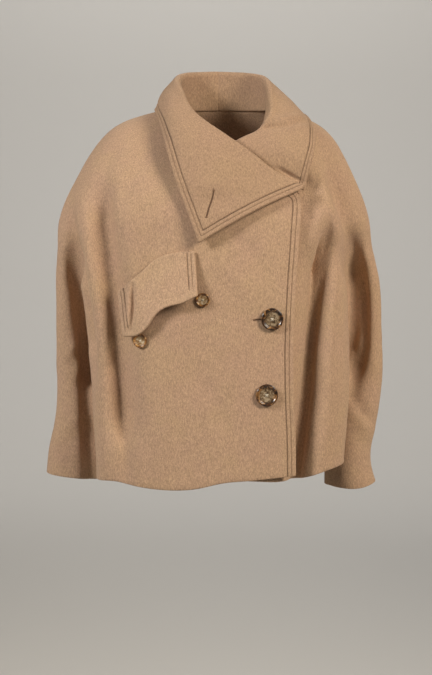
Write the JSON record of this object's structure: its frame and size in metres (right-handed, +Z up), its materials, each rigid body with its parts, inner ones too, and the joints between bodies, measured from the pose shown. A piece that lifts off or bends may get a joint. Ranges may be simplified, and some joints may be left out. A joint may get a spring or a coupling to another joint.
{
  "type": "double-breasted coat",
  "caption": "Short camel wool coat with a wide folded collar, lapped fronts, kimono sleeves and a slanted pocket flap, hollow and open at neck, hem and cuffs.",
  "frame": {"origin": "middle of the garment at the base of the neck, where the shoulders carry it", "axes": "+Z up towards the collar, -Y out of the buttoned front, +X towards the wearer's left sleeve"},
  "size_m": [0.6113, 0.3291, 0.7499],
  "materials": {
    "wool_body": "brushed camel wool",
    "wool_collar": "brushed camel wool, topstitched edge",
    "wool_flap": "brushed camel wool, topstitched edge",
    "horn_button": "polished dark horn"
  },
  "bodies": {
    "root": {"front_right": "wool_body", "front_left": "wool_body", "back": "wool_body", "collar_right": "wool_collar", "collar_left": "wool_collar", "pocket_flap": "wool_flap", "button_upper": "horn_button", "button_lower": "horn_button", "button_flap_inner": "horn_button", "button_flap_outer": "horn_button"}
  },
  "joints": []
}
